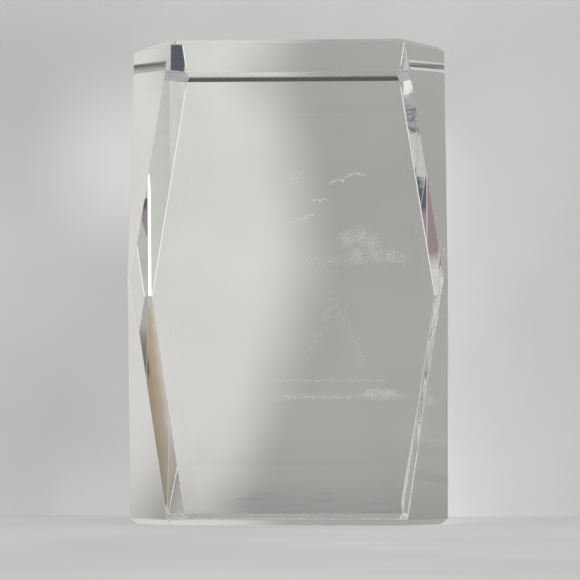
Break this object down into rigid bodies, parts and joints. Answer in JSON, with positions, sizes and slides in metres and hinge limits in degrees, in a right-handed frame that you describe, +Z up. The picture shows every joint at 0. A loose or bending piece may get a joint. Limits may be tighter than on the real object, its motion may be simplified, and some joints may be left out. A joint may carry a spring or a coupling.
{
  "type": "crystal_award",
  "caption": "Upright clear crystal block award with diamond-cut corners, bevelled ends and a faint laser-engraved landscape of birds, tree, mountain and shore inside.",
  "frame": {"origin": "bottom centre of the block's bounding box, on the surface that the award stands on", "axes": "+Z up, the front face looks along -Y, +X to the right of someone looking at the front"},
  "size_m": [0.08, 0.072, 0.122],
  "materials": {
    "optical_glass": "polished",
    "laser_marks": "matte"
  },
  "bodies": {
    "root": {"crystal_block": "optical_glass", "engraved_large_bird": "laser_marks", "engraved_middle_bird": "laser_marks", "engraved_small_bird": "laser_marks", "engraved_star": "laser_marks", "engraved_tree_crown": "laser_marks", "engraved_mist_band": "laser_marks", "engraved_mountain": "laser_marks", "engraved_far_shore": "laser_marks", "engraved_near_shore": "laser_marks"}
  },
  "joints": []
}
